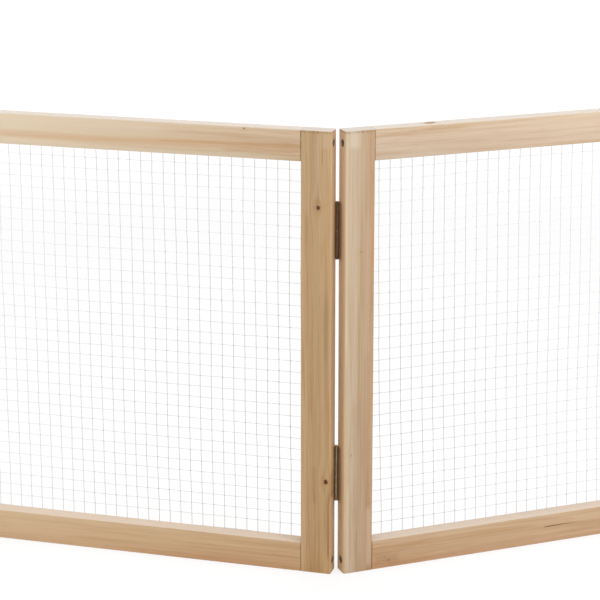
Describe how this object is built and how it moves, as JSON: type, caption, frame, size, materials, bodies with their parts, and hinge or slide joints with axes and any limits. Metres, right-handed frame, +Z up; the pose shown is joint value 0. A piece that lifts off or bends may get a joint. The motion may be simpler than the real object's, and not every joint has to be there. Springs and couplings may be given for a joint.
{
  "type": "small pet pen",
  "caption": "Folding small-animal pen of framed wire-net panels joined by lift-off hinges, open at the back and top.",
  "frame": {"origin": "on the floor at the middle of the pen's bounding box", "axes": "+X to the right along the front, +Y from the front towards the open back, +Z up"},
  "size_m": [1.5616, 1.0778, 0.5],
  "materials": {
    "upright_wood": "planed softwood, unvarnished",
    "rail_wood": "planed softwood, unvarnished",
    "net_wire": "galvanised wire, welded at each crossing",
    "staple_wire": "galvanised",
    "corner_screw_steel": "zinc plated, dulled",
    "hinge_bronze": "antique bronze plating on rolled steel",
    "pin_steel": "bare steel pin",
    "washer_brass": "dull brass",
    "leaf_screw_bronze": "antique bronze plating"
  },
  "bodies": {
    "left_front": {"left_front_pin_stile": "upright_wood", "left_front_socket_stile": "upright_wood", "left_front_top_rail": "rail_wood", "left_front_bottom_rail": "rail_wood", "left_front_net": "net_wire", "left_front_staples": "staple_wire", "left_front_corner_screws": "corner_screw_steel", "left_front_upper_pin_leaf": "hinge_bronze", "left_front_lower_pin_leaf": "hinge_bronze", "left_front_upper_socket_leaf": "hinge_bronze", "left_front_lower_socket_leaf": "hinge_bronze", "left_front_hinge_pins": "pin_steel", "left_front_hinge_washers": "washer_brass", "left_front_leaf_screws": "leaf_screw_bronze"},
    "right_front": {"right_front_pin_stile": "upright_wood", "right_front_socket_stile": "upright_wood", "right_front_top_rail": "rail_wood", "right_front_bottom_rail": "rail_wood", "right_front_net": "net_wire", "right_front_staples": "staple_wire", "right_front_corner_screws": "corner_screw_steel", "right_front_upper_pin_leaf": "hinge_bronze", "right_front_lower_pin_leaf": "hinge_bronze", "right_front_upper_socket_leaf": "hinge_bronze", "right_front_lower_socket_leaf": "hinge_bronze", "right_front_hinge_pins": "pin_steel", "right_front_hinge_washers": "washer_brass", "right_front_leaf_screws": "leaf_screw_bronze"},
    "left_side": {"left_side_pin_stile": "upright_wood", "left_side_socket_stile": "upright_wood", "left_side_top_rail": "rail_wood", "left_side_bottom_rail": "rail_wood", "left_side_net": "net_wire", "left_side_staples": "staple_wire", "left_side_corner_screws": "corner_screw_steel", "left_side_upper_pin_leaf": "hinge_bronze", "left_side_lower_pin_leaf": "hinge_bronze", "left_side_upper_socket_leaf": "hinge_bronze", "left_side_lower_socket_leaf": "hinge_bronze", "left_side_hinge_pins": "pin_steel", "left_side_hinge_washers": "washer_brass", "left_side_leaf_screws": "leaf_screw_bronze"},
    "right_side": {"right_side_pin_stile": "upright_wood", "right_side_socket_stile": "upright_wood", "right_side_top_rail": "rail_wood", "right_side_bottom_rail": "rail_wood", "right_side_net": "net_wire", "right_side_staples": "staple_wire", "right_side_corner_screws": "corner_screw_steel", "right_side_upper_pin_leaf": "hinge_bronze", "right_side_lower_pin_leaf": "hinge_bronze", "right_side_upper_socket_leaf": "hinge_bronze", "right_side_lower_socket_leaf": "hinge_bronze", "right_side_hinge_pins": "pin_steel", "right_side_hinge_washers": "washer_brass", "right_side_leaf_screws": "leaf_screw_bronze"}
  },
  "joints": [
    {"name": "middle_hinge", "type": "hinge", "parent": "left_front", "child": "right_front", "pos_m": [0, -0.52017, 0.25], "axis": [0, 0, 1], "range_deg": [-42, 53]},
    {"name": "left_corner_hinge", "type": "hinge", "parent": "left_front", "child": "left_side", "pos_m": [-0.76056, -0.26569, 0.25], "axis": [0, 0, -1], "range_deg": [-76.5, 18.5]},
    {"name": "right_corner_hinge", "type": "hinge", "parent": "right_front", "child": "right_side", "pos_m": [0.76056, -0.26569, 0.25], "axis": [0, 0, 1], "range_deg": [-76.5, 18.5]}
  ]
}
